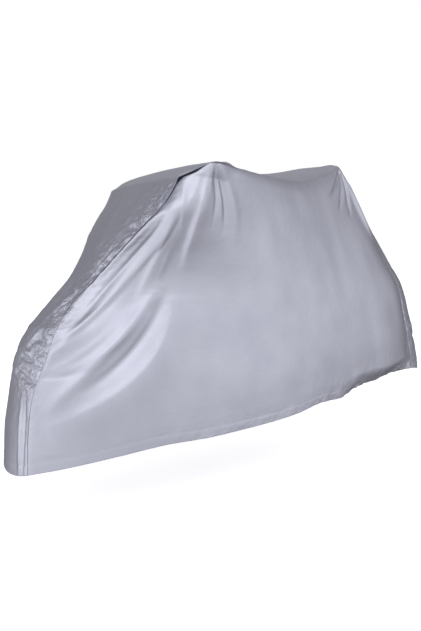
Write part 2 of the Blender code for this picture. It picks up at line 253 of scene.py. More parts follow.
# ---- how the seam puckers its two cloths ---------------------------------------------------------
# panel and gusset are the depths of the puckers on either cloth, and panel_dip and gusset_dip how
# deep either cloth dips into the seam. At the handlebar the gusset's edge lies on the panel.
Pucker = namedtuple("Pucker", "station panel gusset panel_dip gusset_dip")
PUCKERS = [
    Pucker("front hem", 0.0004, 0.0006, 0.0020, 0.0012),
    Pucker("low front", 0.0008, 0.0012, 0.0020, 0.0008),
    Pucker("tyre front", 0.0012, 0.0034, 0.0004, 0.0006),
    Pucker("tyre shoulder", 0.0014, 0.0044, -0.0010, 0.0006),
    Pucker("tyre top", 0.0030, 0.0054, -0.0006, 0.0006),
    Pucker("neck", 0.0040, 0.0058, 0.0020, 0.0005),
    Pucker("slope foot", 0.0036, 0.0052, 0.0024, 0.0005),
    Pucker("slope", 0.0030, 0.0046, 0.0028, 0.0005),
    Pucker("under lever", 0.0020, 0.0050, 0.0035, 0.0008),
    Pucker("lever", 0.0016, 0.0060, 0.0050, 0.0000),
    Pucker("bend foot", 0.0010, 0.0020, 0.0080, -0.0010),
    Pucker("bar bend", 0.0008, 0.0006, 0.0140, -0.0040),
    Pucker("lip", 0.0006, 0.0004, 0.0160, -0.0040),
    Pucker("grip", 0.0008, 0.0006, 0.0080, -0.0010),
    Pucker("behind grip", 0.0005, 0.0006, 0.0010, 0.0010),
    Pucker("saddle", 0.0010, 0.0010, 0.0006, 0.0006),
    Pucker("high rear", 0.0008, 0.0010, 0.0004, 0.0004),
    Pucker("knee", 0.0010, 0.0014, 0.0004, 0.0004),
    Pucker("low rear", 0.0012, 0.0020, 0.0008, 0.0006),
    Pucker("rear hem", 0.0014, 0.0020, 0.0020, 0.0012),
]
CRUMPLED = 0.004         # where the puckers are this deep, the coating is fully crumpled
PANEL_CRUMPLE = 0.6      # the share of the puckers' depth that crumples a panel's coating
SEAM_CRUMPLE_REACH = 0.020  # how far from the seam it is crumpled
HEM_CRUMPLE_REACH = 0.030   # and how far from the hem
FAR_PUCKERS = 0.35       # the share of those depths on the far side
# sign is the side of the bicycle, and fullness the share of the stations' swell that a side has.
Side = namedtuple("Side", "sign folds seed puckering fullness")
NEAR = Side(-1, NEAR_FOLDS, 31, 1.0, 1.0)
FAR = Side(1, FAR_FOLDS, 57, FAR_PUCKERS, 0.4)
PUCKER_STEP = 0.021      # from one pucker to the next
PUCKER_REACH = 0.028     # how far the puckers run into the cloth
FINE_REACH = 0.012       # how far the small puckers between them run

# ---- the unevenness of loose cloth ---------------------------------------------------------------
# Each row is a set of waves: how deep, how far they lean for their height, how far apart they are
# across, and how long up.
Slack = namedtuple("Slack", "depth lean across up")
SLACK = [
    Slack(0.0022, 0.4, 0.16, 0.30),
    Slack(0.0009, 0.3, 0.055, 0.11),
]
SLACK_CLEARANCE = 0.060  # they die out over this distance before a panel's seam

# ---- folds of the gusset -------------------------------------------------------------------------
# A fold follows a curve through three points. A point's place is how far along the seam it lies
# from the front hem, and its share how far across, where -1 is the near seam and 1 the far one.
Crease = namedtuple("Crease", "name place0 share0 place1 share1 place2 share2 width height")
CREASES = [
    # over the front tyre, where the gusset is bunched between its seams
    Crease("arch rise", 0.372, -0.30, 0.412, -0.45, 0.432, -0.62, 0.008, 0.008),
    Crease("arch fall", 0.432, -0.60, 0.412, -0.82, 0.378, -0.92, 0.008, 0.009),
    Crease("arch hollow", 0.372, -0.40, 0.395, -0.62, 0.372, -0.85, 0.009, -0.007),
    Crease("tyre groove", 0.340, -0.15, 0.326, -0.50, 0.322, -0.97, 0.006, -0.008),
    Crease("tyre roll", 0.358, -0.15, 0.345, -0.50, 0.338, -0.95, 0.008, 0.007),
    Crease("first ridge", 0.305, -0.12, 0.292, -0.55, 0.276, -0.97, 0.006, 0.008),
    Crease("first groove", 0.290, -0.12, 0.277, -0.50, 0.262, -0.97, 0.006, -0.007),
    Crease("second ridge", 0.262, -0.30, 0.256, -0.65, 0.246, -0.97, 0.006, 0.005),
    Crease("third ridge", 0.236, -0.45, 0.230, -0.70, 0.224, -0.95, 0.006, 0.004),
    Crease("far arch", 0.430, 0.45, 0.420, 0.70, 0.380, 0.95, 0.010, 0.002),
    Crease("far groove", 0.345, 0.20, 0.330, 0.60, 0.325, 0.97, 0.008, -0.003),
    Crease("far ridge", 0.300, 0.25, 0.285, 0.60, 0.270, 0.97, 0.008, 0.002),
    # the pleat that falls beside the near seam to the hem
    Crease("pleat", 0.215, -0.60, 0.110, -0.66, 0.002, -0.70, 0.007, 0.005),
    Crease("pleat groove", 0.215, -0.80, 0.110, -0.84, 0.002, -0.84, 0.006, -0.004),
    Crease("far pleat", 0.200, 0.55, 0.100, 0.62, 0.002, 0.66, 0.010, 0.003),
    # from the tyre over the neck up the slope, beside the near seam
    Crease("neck puff", 0.455, -0.75, 0.490, -0.70, 0.530, -0.80, 0.011, 0.008),
    Crease("neck groove", 0.440, -0.50, 0.510, -0.45, 0.600, -0.70, 0.008, -0.007),
    Crease("neck ridge", 0.460, -0.25, 0.540, -0.30, 0.650, -0.62, 0.009, 0.007),
    Crease("slope ridge", 0.560, -0.80, 0.640, -0.72, 0.760, -0.86, 0.009, 0.005),
    Crease("slope groove", 0.620, -0.55, 0.700, -0.60, 0.800, -0.80, 0.011, -0.005),
    Crease("far neck", 0.450, 0.55, 0.530, 0.50, 0.640, 0.75, 0.012, 0.002),
    # the pocket below the lever, and short wrinkles above it
    Crease("pocket", 0.795, -0.99, 0.826, -0.93, 0.834, -0.74, 0.011, -0.011),
    Crease("wrinkle 1", 0.858, -0.99, 0.868, -0.85, 0.890, -0.66, 0.006, 0.004),
    Crease("wrinkle 2", 0.878, -0.99, 0.892, -0.86, 0.912, -0.72, 0.006, -0.004),
    Crease("wrinkle 3", 0.905, -0.99, 0.918, -0.82, 0.925, -0.62, 0.006, 0.004),
    Crease("slope streak", 0.760, -0.10, 0.900, 0.10, 1.010, 0.50, 0.030, 0.004),
    Crease("far corner hollow", 1.040, 0.97, 0.960, 0.96, 0.870, 0.94, 0.024, -0.004),
    Crease("grip knob", 1.165, -0.94, 1.195, -0.95, 1.230, -0.93, 0.016, 0.009),
    # above the rear hem: two creases across the gusset and a pleat down it
    Crease("rear roll", 2.660, -0.80, 2.650, 0.00, 2.665, 0.90, 0.014, 0.003),
    Crease("rear groove", 2.700, -0.90, 2.695, 0.10, 2.705, 0.80, 0.012, -0.004),
    Crease("rear pleat", 2.580, 0.30, 2.700, 0.20, 2.830, 0.25, 0.014, 0.003),
]
# depth is how deep the gusset is crumpled at a place along the seam, beside the near seam.
Bunch = namedtuple("Bunch", "place depth")
BUNCHING = [
    Bunch(0.00, 0.0003),
    Bunch(0.20, 0.0010),
    Bunch(0.26, 0.0032),
    Bunch(0.45, 0.0034),
    Bunch(0.60, 0.0030),
    Bunch(0.75, 0.0024),
    Bunch(0.84, 0.0024),
    Bunch(0.88, 0.0050),
    Bunch(0.95, 0.0046),
    Bunch(1.02, 0.0010),
    Bunch(2.40, 0.0004),
    Bunch(2.65, 0.0016),
    Bunch(2.84, 0.0015),
]
BUNCHED_WIDTH = 0.13     # it dies out over about this distance from the near seam
BUNCHED_REST = 0.30      # the share of it that the whole width has besides
BUNCH_LENGTH = 0.026     # from one crumple to the next along the gusset
BUNCH_WIDTH = 0.040      # and across it
REAR_GATHER_STEP = 0.016   # from one gather of the gusset's rear hem to the next
REAR_GATHER_DEPTH = 0.0022
REAR_GATHER_REACH = 0.040  # how high they run


# ---- curves and uneven surfaces ------------------------------------------------------------------
def through(knots, points, where):
    """The smooth curve through the points, read at the places given; knots are the points' places."""
    knots, points = np.asarray(knots, float), np.asarray(points, float)
    steps = np.diff(knots)[:, None]
    slopes = np.diff(points, axis=0) / steps
    inner = (slopes[:-1] * steps[1:] + slopes[1:] * steps[:-1]) / (steps[1:] + steps[:-1])
    tangents = np.vstack([slopes[:1], inner, slopes[-1:]])
    where = np.clip(where, knots[0], knots[-1])
    cell = np.clip(np.searchsorted(knots, where, side="right") - 1, 0, len(knots) - 2)
    step = steps[cell]
    t = (where - knots[cell])[:, None] / step
    return (
        (2 * t**3 - 3 * t**2 + 1) * points[cell]
        + (t**3 - 2 * t**2 + t) * step * tangents[cell]
        + (3 * t**2 - 2 * t**3) * points[cell + 1]
        + (t**3 - t**2) * step * tangents[cell + 1]
    )


def lengths_along(points):
    """How far along the polyline each of its points lies."""
    return np.concatenate([[0], np.cumsum(np.linalg.norm(np.diff(points, axis=0), axis=1))])


def lengths_in_rows(grid):
    """How far along its row each point of a grid lies, from the row's first point."""
    steps = np.linalg.norm(np.diff(grid, axis=1), axis=2)
    return np.concatenate([np.zeros((len(grid), 1)), np.cumsum(steps, axis=1)], axis=1)


def unit(vectors):
    """Vectors of length 1 with the same directions."""
    return vectors / np.maximum(np.linalg.norm(vectors, axis=-1, keepdims=True), 1e-9)


def crowded(count, first, last, lean):
    """Fractions from 0 to 1. Their steps shrink to the shares first and last of the usual step at
    the two ends, and grow by the share lean from start to end."""
    middle = np.arange(count) + 0.5
    steps = 1 + lean * (middle / count - 0.5)
    steps -= (1 - first) * np.exp(-middle / CROWDED_CELLS)
    steps -= (1 - last) * np.exp((middle - count) / CROWDED_CELLS)
    return np.concatenate([[0], np.cumsum(steps)]) / steps.sum()


def rumple(x, y, seed):
    """Smooth unevenness between -1 and 1: random heights on a unit lattice, blended in between."""
    size = 128
    lattice = np.random.default_rng(seed).uniform(-1, 1, (size, size))
    column, row = np.floor(x).astype(int), np.floor(y).astype(int)
    fx, fy = x - column, y - row
    fx, fy = fx * fx * (3 - 2 * fx), fy * fy * (3 - 2 * fy)
    low = lattice[column % size, row % size] * (1 - fx)
    low += lattice[(column + 1) % size, row % size] * fx
    high = lattice[column % size, (row + 1) % size] * (1 - fx)
    high += lattice[(column + 1) % size, (row + 1) % size] * fx
    return low * (1 - fy) + high * fy


def crumple(x, y, seed):
    """Sharp crossing creases, as in foil that was pressed together, between about -1 and 1."""
    field = 0.0
    for step, share in ((1.0, 0.6), (2.1, 0.4)):
        bend = 0.35 * rumple(x * step * 0.7, y * step * 0.7, seed + 7)
        field += share * (1 - 2.6 * np.abs(rumple(x * step + bend, y * step - bend, seed)))
        seed += 1
    return field


SEAM_POINTS = np.array([(row.seam_x, row.half_width, row.seam_z) for row in STATIONS])
RIDGE_POINTS = np.array([(row.ridge_x, 0.0, row.ridge_z) for row in STATIONS])
SEAM_KNOTS = lengths_along(SEAM_POINTS)
NAMES = [row.name for row in STATIONS]
GRIP_KNOT = SEAM_KNOTS[NAMES.index("grip")]
SADDLE_KNOT = SEAM_KNOTS[NAMES.index("saddle")]
END_KNOT = SEAM_KNOTS[-1]
ALONG = crowded(LENGTHWISE, 0.3, 0.25, 0.3)
UP = crowded(UPRIGHT, 0.35, 0.25, 0.0)
FRONT_KNOTS = UP * GRIP_KNOT
TOP_KNOTS = GRIP_KNOT + ALONG * (SADDLE_KNOT - GRIP_KNOT)
REAR_KNOTS = END_KNOT - UP * (END_KNOT - SADDLE_KNOT)
GUSSET_KNOTS = np.concatenate([FRONT_KNOTS, TOP_KNOTS[1:], REAR_KNOTS[-2::-1]])


def round_the_seam(values):
    """A panel's values along its sewn edges, in the order of the gusset's rows."""
    return np.concatenate([values[0], values[1:, -1], values[-1, -2::-1]])


def normals_of(grid):
    """Unit normals of a grid of points, along cross up."""
    return unit(np.cross(np.gradient(grid, axis=0), np.gradient(grid, axis=1)))


def pucker_depths(column):
    """The depth of the seam's puckers at each knot of the seam, for one of the two cloths."""
    places = [SEAM_KNOTS[NAMES.index(row.station)] for row in PUCKERS]
    depths = [getattr(row, column) for row in PUCKERS]
    return lambda knots: np.interp(knots, places, depths)


def seam_gathers(knots, gap, depth, seed):
    """Puckers that start at the seam and run into the cloth, each a little askew."""
    sway = rumple(knots / 0.09, gap * 0, seed + 1)
    place = knots / PUCKER_STEP + gap * 14 * sway
    fine = crumple(place, gap / 0.05, seed)
    finer = rumple(place * 2.3, gap / 0.03, seed + 2) * np.exp(-gap / FINE_REACH)
    near = gap / (gap + 0.003)
    return depth * (fine + 0.6 * finer) * near * np.exp(-((gap / PUCKER_REACH) ** 1.5))


# ---- the side panels -----------------------------------------------------------------------------
def blended_patch(front, top, rear, hem):
    """The surface between four edges that meet at their ends.

    It runs straight from the hem to the top, and each upright edge's own bends are added to
    that. They die out away from the edge, sideways bends sooner than the rest.
    """
    u, v = ALONG[:, None, None], UP[None, :, None]
    fade = BEND_FADE + v**5 * GRIP_FADE
    straight = (1 - v) * hem[:, None] + v * top[:, None]
    front_bends = front[None] - straight[:1]
    rear_bends = rear[None] - straight[-1:]
    return straight + (1 - u) ** fade * front_bends + u**BEND_FADE * rear_bends


def along_curve(flat, points, fore, aft):
    """A soft ridge of height 1 along the curve through three points: which points of the flat
    cloth it reaches, and how high it is there. fore and aft are its widths left and right."""
    t = np.linspace(0, 1, 81)[:, None]
    start, middle, end = (np.array(point, float) for point in points)
    pull = 2 * middle - (start + end) / 2
    path = (1 - t) ** 2 * start + 2 * t * (1 - t) * pull + t**2 * end
    heading = unit(np.gradient(path, axis=0))
    reach = 3 * max(fore, aft)
    close = ((flat > path.min(axis=0) - reach) & (flat < path.max(axis=0) + reach)).all(axis=-1)
    offsets = flat[close][:, None] - path
    nearest = np.linalg.norm(offsets, axis=2).argmin(axis=1)
    offset = offsets[np.arange(len(nearest)), nearest]
    ahead = heading[nearest]
    side = ahead[:, 0] * offset[:, 1] - ahead[:, 1] * offset[:, 0]
    at_end = (nearest == 0) | (nearest == len(t) - 1)
    overshoot = np.where(at_end, (offset * ahead).sum(axis=1), 0)
    across = np.hypot(side / np.where(side < 0, fore, aft), CREST) - CREST
    fade = np.sin(np.pi * (0.06 + 0.88 * t[nearest, 0])) ** 0.8
    return close, fade * np.exp(-1.4 * across**1.4 - (overshoot / 0.02) ** 2)


def fold_lift(grid, folds):
    """How far the folds lift each point of a panel."""
    lift = np.zeros(grid.shape[:2])
    for fold in folds:
        points = (fold.x0, fold.z0), (fold.x1, fold.z1), (fold.x2, fold.z2)
        close, shape = along_curve(grid[..., ::2], points, fold.fore, fold.aft)
        lift[close] += fold.height * shape
    return lift


def crease_lift(knots, aside, creases):
    """How far the creases lift each point of the gusset, which lies aside from its ridge."""
    half = aside[:, -1]
    flat = np.stack([knots, aside], axis=2)
    lift = np.zeros(knots.shape)
    for crease in creases:
        marks = ((crease.place0, crease.share0), (crease.place1, crease.share1),
                 (crease.place2, crease.share2))
        points = [(place, share * np.interp(place, knots[:, 0], half)) for place, share in marks]
        close, shape = along_curve(flat, points, crease.width, crease.width)
        lift[close] += crease.height * shape
    return lift


def panel_base(fullness):
    """A side panel's smooth surface on the +Y side, and how far its points lie from the seams.

    fullness is the share of the table's swell that it has.
    """
    front = through(SEAM_KNOTS, SEAM_POINTS, FRONT_KNOTS)
    top = through(SEAM_KNOTS, SEAM_POINTS, TOP_KNOTS)
    rear = through(SEAM_KNOTS, SEAM_POINTS, REAR_KNOTS)
    hem_points = np.array([(row.x, row.side, row.z) for row in HEM])
    hem_knots = lengths_along(hem_points)
    hem = through(hem_knots, hem_points, ALONG * hem_knots[-1])
    grid = blended_patch(front, top, rear, hem)
    sewn = ((front[None], FRONT_KNOTS[None]), (top[:, None], TOP_KNOTS[:, None]),
            (rear[None], REAR_KNOTS[None]))
    gaps = np.stack([np.linalg.norm(grid - edge, axis=2) for edge, _ in sewn])
    swells = np.array([row.swell for row in STATIONS])[:, None]
    reach = [through(SEAM_KNOTS, swells, knots.ravel()).reshape(knots.shape) for _, knots in sewn]
    weights = 1 / (gaps**2 + 1e-9)
    swell = sum(weight * value for weight, value in zip(weights, reach)) / weights.sum(axis=0)
    rise = 1 - np.exp(-gaps.min(axis=0) / SWELL_DEPTH)
    # Nothing swells at the hem, which hangs where its table says.
    grid[..., 1] += fullness * swell * rise * (1 - (1 - UP[None]) ** 6)
    return grid, gaps


def gusset_base():
    """The gusset's smooth outer surface: rows from the front hem to the rear hem, -Y seam to +Y."""
    seam = through(SEAM_KNOTS, SEAM_POINTS, GUSSET_KNOTS)[:, None]
    ridge = through(SEAM_KNOTS, RIDGE_POINTS, GUSSET_KNOTS)[:, None]
    share = 2 * crowded(ACROSS, 0.25, 0.25, 0.0)[None, :, None] - 1
    grid = ridge + (seam - ridge) * share**2
    grid[..., 1] = (seam * share)[..., 1]
    return grid


def seam_outwards(gusset):
    """The direction straight out of the seam, between the two cloths' own normals, on the +Y side."""
    panel, _ = panel_base(1.0)
    raw = unit(round_the_seam(-normals_of(panel)) + normals_of(gusset)[:, -1])
    window = np.hanning(2 * SEAM_SMOOTHING + 1)
    ends = np.concatenate([raw[:1].repeat(SEAM_SMOOTHING, 0), raw, raw[-1:].repeat(SEAM_SMOOTHING, 0)])
    return unit(np.stack([np.convolve(axis, window, "valid") for axis in ends.T], axis=1))


def steer(normals, gap, seam_normals):
    """Normals that turn into the seam's own direction close to the seam."""
    share = np.clip(gap / 0.02, 0, 1)[..., None]
    return unit(normals * share + seam_normals * (1 - share))


def hem_values(column):
    """A column of the hem's table at each step along the panel."""
    points = np.array([(row.x, row.side, row.z) for row in HEM])
    knots = lengths_along(points)
    values = [getattr(row, column) for row in HEM]
    return np.interp(ALONG * knots[-1], knots, values)[:, None]


def panel_grid(side, outwards):
    """A side panel's finished outer surface on the +Y side, with its outward normals."""
    grid, gaps = panel_base(side.fullness)
    gap = gaps.min(axis=0)
    front, top, rear = outwards[: UPRIGHT + 1], outwards[UPRIGHT:-UPRIGHT], outwards[-UPRIGHT - 1:]
    weights = (1 / (gaps**2 + 1e-9))[..., None]
    blend = weights[0] * front[None] + weights[1] * top[:, None] + weights[2] * rear[::-1][None]
    directions = steer(-normals_of(grid), gap, unit(blend))
    height = lengths_in_rows(grid)
    lift = fold_lift(grid, side.folds) * np.clip(gap / FOLD_CLEARANCE, 0, 1)
    depths, dips = pucker_depths("panel"), pucker_depths("panel_dip")
    sewn = list(zip(gaps, (FRONT_KNOTS[None], TOP_KNOTS[:, None], REAR_KNOTS[None])))
    for edge, knots in sewn:
        knots = knots + edge * 0
        lift += side.puckering * seam_gathers(knots, edge, depths(knots), side.seed)
        reach = SEAM_ROUND + 0.6 * np.clip(dips(knots), 0, 1)
        lift -= side.puckering * dips(knots) * np.exp(-edge / reach)
    lift += slack(grid[..., 0], grid[..., 2], side.seed) * np.clip(gap / SLACK_CLEARANCE, 0, 1)
    along = np.broadcast_to((ALONG * PANEL_FLAT[0])[:, None], height.shape)
    gathers = crumple(along / GATHER_STEP, height / 0.05, side.seed + 5)
    gathers *= hem_values("gather") * np.exp(-height / GATHER_REACH)
    tuck = hem_values("tuck") * np.clip(1 - height / TUCK_DEPTH, 0, 1) ** TUCK_FALL
    lift += (gathers - tuck) * np.clip(gap / TUCK_CLEARANCE, 0, 1)
    lift += hem_band(height, PANEL_STITCH)
    crumple_depth = sum(depths(knots + edge * 0) * np.exp(-edge / SEAM_CRUMPLE_REACH)
                        for edge, knots in sewn)
    crumple_depth *= PANEL_CRUMPLE * side.puckering
    crumple_depth += hem_values("gather") * np.exp(-height / HEM_CRUMPLE_REACH)
    return grid + directions * lift[..., None], directions, crumple_depth / CRUMPLED


def slack(x, z, seed):
    """The slow unevenness of loose cloth, with long soft folds that lean like the seam."""
    return sum(
        row.depth * rumple((x + row.lean * z) / row.across, z / row.up, seed + 3 + k)
        for k, row in enumerate(SLACK)
    )


def hem_band(height, stitched):
    """The doubled cloth of the turned hem, drawn in by the depth stitched along its stitch line."""
    band = 0.0006 * np.clip((HEM_DEPTH + 0.002 - height) / 0.004, 0, 1)
    return band - stitched * np.exp(-(((height - HEM_DEPTH) / 0.0028) ** 2))


# ---- the gusset ----------------------------------------------------------------------------------
def gusset_grid(seed):
    """The gusset's finished outer surface, with its outward normals."""
    grid = gusset_base()
    outwards = seam_outwards(grid)
    from_near = lengths_in_rows(grid)
    from_far = from_near[:, -1:] - from_near
    gap = np.minimum(from_near, from_far)
    mirrored = outwards * np.array([1, -1, 1])
    sides = np.where((from_near < from_far)[..., None], mirrored[:, None], outwards[:, None])
    directions = steer(normals_of(grid), gap, sides)
    knots = np.broadcast_to(GUSSET_KNOTS[:, None], gap.shape)
    depths = pucker_depths("gusset")(knots)
    lift = seam_gathers(knots, from_near, depths, seed)
    lift += FAR_PUCKERS * seam_gathers(knots, from_far, depths, seed + 20)
    dips = pucker_depths("gusset_dip")(knots)
    lift -= dips * np.exp(-from_near / SEAM_ROUND)
    lift -= FAR_PUCKERS * dips * np.exp(-from_far / SEAM_ROUND)
    edge = np.clip(gap / FOLD_CLEARANCE, 0, 1)
    aside = from_near - from_near[:, -1:] / 2
    lift += crease_lift(knots, aside, CREASES) * edge
    bunched = np.interp(knots, *zip(*BUNCHING))
    bunched *= BUNCHED_REST + np.exp(-((from_near / BUNCHED_WIDTH) ** 2))
    lift += bunched * crumple(knots / BUNCH_LENGTH, aside / BUNCH_WIDTH, seed + 3) * edge
    lift += 0.8 * slack(knots, from_near * 1.6, seed) * edge
    ends = np.minimum(knots, END_KNOT - knots)
    lift += hem_band(ends, GUSSET_STITCH)
    rear_end = END_KNOT - knots
    gathers = rumple(from_near / REAR_GATHER_STEP, rear_end / 0.06, seed + 9)
    lift += REAR_GATHER_DEPTH * gathers * np.exp(-rear_end / REAR_GATHER_REACH) * edge
    return grid + directions * lift[..., None], directions, (bunched / CRUMPLED) ** 2


# ---- meshes --------------------------------------------------------------------------------------
Cloth = namedtuple("Cloth", "points faces places crumple")


def strip_faces(first, second):
    """The faces between two rows of point numbers."""
    return np.stack([first[:-1], first[1:], second[1:], second[:-1]], axis=1)


def flap(points, faces, places, root, rows, row_places):
    """Adds rows of points beyond the row root, and the faces that join them on."""
    for row, place in zip(rows, row_places):
        numbers = len(points) + np.arange(len(row))
        faces.append(strip_faces(root, numbers))
        points = np.concatenate([points, row])
        places = np.concatenate([places, place])
        root = numbers
    return points, places


def hem_rows(outer, directions, heights):
    """The rows that turn a hem under and lead it back up inside, from the hem's edge row."""
    edge, inner = outer[:, 0], outer[:, 1]
    down = unit(edge - inner)
    inwards = -directions[:, 0]
    rows = []
    for angle in TURN_ANGLES:
        turn = math.radians(angle)
        rows.append(edge + HEM_TURN * (inwards * (1 - math.cos(turn)) + down * math.sin(turn)))
    usual = heights.mean(axis=0)
    for target in INNER_HEIGHTS:
        step = int(np.abs(usual - target).argmin())
        rows.append(outer[:, step] - directions[:, step] * 2 * HEM_TURN)
    return rows


def seam_rows(edge, inner, outwards):
    """The rows of a seam allowance: straight in from the edge, a hair to the cloth's own side."""
    along = unit(np.gradient(edge, axis=0))
    aside = inner - edge
    aside = unit(aside - along * (aside * along).sum(axis=1, keepdims=True))
    aside = unit(aside - outwards * (aside * outwards).sum(axis=1, keepdims=True))
    return [edge - outwards * depth + aside * 0.0002 for depth in ALLOWANCE]


def step_back(grid, distance):
    """Moves a panel's three sewn edges back from the seam, square to the seam."""
    for edge, inner in ((grid[0], grid[1]), (grid[-1], grid[-2]), (grid[:, -1], grid[:, -2])):
        along = unit(np.gradient(edge, axis=0))
        towards = inner - edge
        towards = towards - along * (towards * along).sum(axis=1, keepdims=True)
        edge += distance * unit(towards)


def numbered(grid):
    """The numbers of a grid's points, in the grid's own shape."""
    return np.arange(grid.shape[0] * grid.shape[1]).reshape(grid.shape[:2])


def grid_faces(numbers):
    """The four-sided faces of a grid of point numbers."""
    corners = numbers[:-1, :-1], numbers[1:, :-1], numbers[1:, 1:], numbers[:-1, 1:]
    return np.stack([corner.ravel() for corner in corners], axis=1)


def panel_cloth(side):
    """A side panel with its seam allowances and turned hem."""
    outwards = seam_outwards(gusset_base())
    grid, directions, crumple_share = panel_grid(side, outwards)
    step_back(grid, SEAM_GAP)
    heights = lengths_in_rows(grid)
    numbers = numbered(grid)
    along = np.broadcast_to((ALONG * PANEL_FLAT[0])[:, None], heights.shape)
    points, places = grid.reshape(-1, 3), np.stack([along, heights], axis=2).reshape(-1, 2)
    faces = [grid_faces(numbers)]
    seam = round_the_seam(numbers)
    inner = grid[1:-1, :-1]
    inner_row = np.concatenate([inner[0], inner[:, -1], inner[-1, ::-1]])
    picks = np.linspace(0, len(inner_row) - 1, len(seam)).round().astype(int)
    rows = seam_rows(points[seam], inner_row[picks], outwards)
    row_places = [places[seam] + depth for depth in ALLOWANCE]
    points, places = flap(points, faces, places, seam, rows, row_places)
    hems = hem_rows(grid, directions, heights)
    hem_places = [places[numbers[:, 0]] - np.array([0, 0.004 * (k + 1)]) for k in range(len(hems))]
    points, places = flap(points, faces, places, numbers[::-1, 0], [r[::-1] for r in hems],
                          [p[::-1] for p in hem_places])
    faces = np.concatenate(faces)
    points = points * np.array([1, side.sign, 1])
    faces = faces if side.sign < 0 else faces[:, ::-1]
    return Cloth(points, faces, places, np.resize(crumple_share, len(points)))


def gusset_cloth(seed):
    """The gusset with its two seam allowances and its two turned hems."""
    grid, directions, crumple_share = gusset_grid(seed)
    outwards = seam_outwards(gusset_base())
    mirrored = outwards * np.array([1, -1, 1])
    for edge, inner in ((grid[:, 0], grid[:, 1]), (grid[:, -1], grid[:, -2])):
        edge += SEAM_GAP * unit(inner - edge)
    numbers = numbered(grid)
    across = lengths_in_rows(grid)
    across -= across[:, -1:] / 2
    length = np.broadcast_to(GUSSET_KNOTS[:, None], across.shape)
    points, places = grid.reshape(-1, 3), np.stack([length, across], axis=2).reshape(-1, 2)
    faces = [grid_faces(numbers)]
    near = seam_rows(grid[:, 0], grid[:, 1], mirrored)
    far = seam_rows(grid[:, -1], grid[:, -2], outwards)
    edges = places[numbers[:, 0]], places[numbers[:, -1]]
    points, places = flap(points, faces, places, numbers[::-1, 0], [r[::-1] for r in near],
                          [edges[0][::-1]] * len(near))
    points, places = flap(points, faces, places, numbers[:, -1], far, [edges[1]] * len(far))
    for step in (1, -1):
        # The second time round, the gusset is read from its rear end.
        turned, headings = (rows[::step].transpose(1, 0, 2) for rows in (grid, directions))
        root = numbers[0] if step > 0 else numbers[-1, ::-1]
        hems = [row[::step] for row in hem_rows(turned, headings, lengths_in_rows(turned))]
        points, places = flap(points, faces, places, root, hems, [places[root]] * len(hems))
    # The flaps don't show, so their points take the shares of the sheet's first points.
    return Cloth(points, np.concatenate(faces), places, np.resize(crumple_share, len(points)))


def cloth_piece(name, cloth, thickness, material):
    """The cloth as a closed sheet: its faces, its flat places as UV, and its thickness inside."""
    mesh = bpy.data.meshes.new(name)
    points = cloth.points - np.array([MIDDLE_X, 0.0, LOWEST_HEM])
    mesh.from_pydata(points, [], cloth.faces.tolist())
    flat = mesh.uv_layers.new(name="flat cloth")
    loops = np.zeros(len(mesh.loops), np.int32)
    mesh.loops.foreach_get("vertex_index", loops)
    flat.uv.foreach_set("vector", cloth.places[loops].astype(np.float32).ravel())
    crumples = mesh.attributes.new("crumple", "FLOAT", "POINT")
    crumples.data.foreach_set("value", cloth.crumple.astype(np.float32))
    mesh.shade_smooth()
    mesh.materials.append(material)
    piece = bpy.data.objects.new(name, mesh)
    bpy.context.scene.collection.objects.link(piece)
    wall = piece.modifiers.new("cloth thickness", "SOLIDIFY")
    wall.thickness = thickness
    wall.offset = -1
    bpy.ops.object.select_all(action="DESELECT")
    bpy.context.view_layer.objects.active = piece
    piece.select_set(True)
    bpy.ops.object.modifier_apply(modifier=wall.name)
    return piece


# ---- materials -----------------------------------------------------------------------------------
def linear(hex_colour):
    """An sRGB hex colour, such as "A9AAB7", as linear red, green, blue and alpha."""
    shares = [int(hex_colour[k:k + 2], 16) / 255 for k in (0, 2, 4)]
    return (*(s / 12.92 if s <= 0.04045 else ((s + 0.055) / 1.055) ** 2.4 for s in shares), 1)


def add_node(tree, kind, inputs=None, **settings):
    """Adds a node with its settings. An input is a value, or the socket that feeds it."""
    node = tree.nodes.new(kind)
    for name, value in settings.items():
        setattr(node, name, value)
    for name, value in (inputs or {}).items():
        if isinstance(value, bpy.types.NodeSocket):
            tree.links.new(value, node.inputs[name])
        else:
            node.inputs[name].default_value = value
    return node


